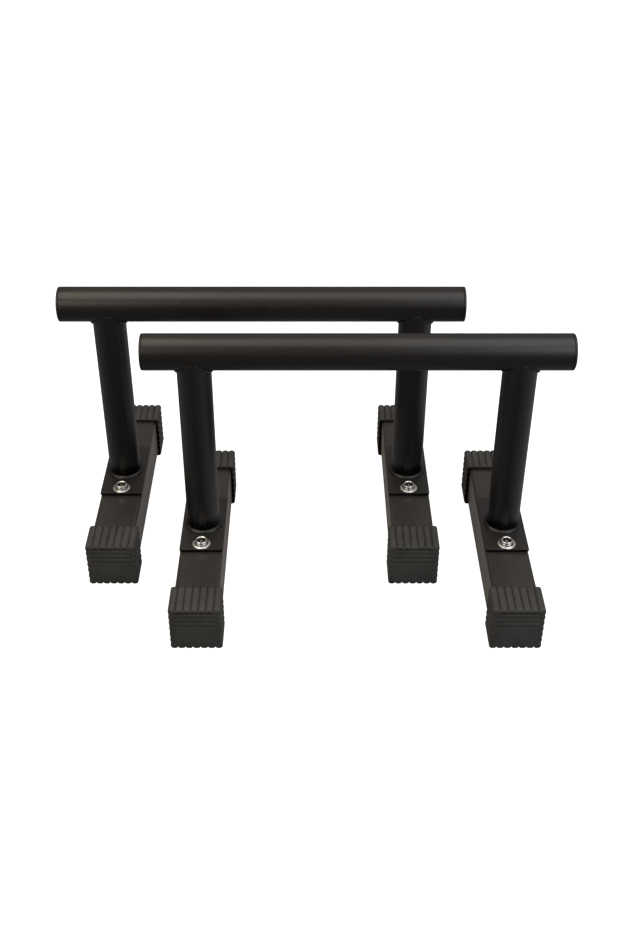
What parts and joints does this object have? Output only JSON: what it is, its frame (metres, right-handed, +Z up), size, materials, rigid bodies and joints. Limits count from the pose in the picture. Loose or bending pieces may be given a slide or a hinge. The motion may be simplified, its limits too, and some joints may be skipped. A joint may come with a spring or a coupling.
{
  "type": "parallel bars",
  "caption": "Pair of low steel parallettes: round handle on two uprights, bolted to square foot tubes with ribbed rubber end caps, for push-ups, L-sits and handstands.",
  "frame": {"origin": "on the floor, midway between the two bars, at the bottom centre of the whole pair's box", "axes": "+Z up, X along the handles, +Y from the front bar to the rear bar"},
  "size_m": [0.571, 0.412, 0.311],
  "materials": {
    "powder_coat": "satin black powder coat with a fine grain",
    "cap_plastic": "moulded black plastic, satin",
    "foot_rubber": "moulded matt black rubber",
    "zinc_bright": "bright zinc plate",
    "zinc_dull": "dull zinc plate"
  },
  "bodies": {
    "front_bar": {"front_handle_tube": "powder_coat", "front_handle_cap_left": "cap_plastic", "front_handle_cap_right": "cap_plastic", "front_foot_tube_left": "powder_coat", "front_base_plate_left": "powder_coat", "front_upright_left": "powder_coat", "front_foot_cap_left_near": "foot_rubber", "front_bolt_left_near": "zinc_bright", "front_washer_left_near": "zinc_bright", "front_nut_left_near": "zinc_dull", "front_foot_cap_left_far": "foot_rubber", "front_bolt_left_far": "zinc_bright", "front_washer_left_far": "zinc_bright", "front_nut_left_far": "zinc_dull", "front_foot_tube_right": "powder_coat", "front_base_plate_right": "powder_coat", "front_upright_right": "powder_coat", "front_foot_cap_right_near": "foot_rubber", "front_bolt_right_near": "zinc_bright", "front_washer_right_near": "zinc_bright", "front_nut_right_near": "zinc_dull", "front_foot_cap_right_far": "foot_rubber", "front_bolt_right_far": "zinc_bright", "front_washer_right_far": "zinc_bright", "front_nut_right_far": "zinc_dull"},
    "rear_bar": {"rear_handle_tube": "powder_coat", "rear_handle_cap_left": "cap_plastic", "rear_handle_cap_right": "cap_plastic", "rear_foot_tube_left": "powder_coat", "rear_base_plate_left": "powder_coat", "rear_upright_left": "powder_coat", "rear_foot_cap_left_near": "foot_rubber", "rear_bolt_left_near": "zinc_bright", "rear_washer_left_near": "zinc_bright", "rear_nut_left_near": "zinc_dull", "rear_foot_cap_left_far": "foot_rubber", "rear_bolt_left_far": "zinc_bright", "rear_washer_left_far": "zinc_bright", "rear_nut_left_far": "zinc_dull", "rear_foot_tube_right": "powder_coat", "rear_base_plate_right": "powder_coat", "rear_upright_right": "powder_coat", "rear_foot_cap_right_near": "foot_rubber", "rear_bolt_right_near": "zinc_bright", "rear_washer_right_near": "zinc_bright", "rear_nut_right_near": "zinc_dull", "rear_foot_cap_right_far": "foot_rubber", "rear_bolt_right_far": "zinc_bright", "rear_washer_right_far": "zinc_bright", "rear_nut_right_far": "zinc_dull"}
  },
  "joints": [
    {"name": "bar_spacing", "type": "slide", "parent": "front_bar", "child": "rear_bar", "axis": [0, 1, 0], "range_m": [0, 0.4]}
  ]
}
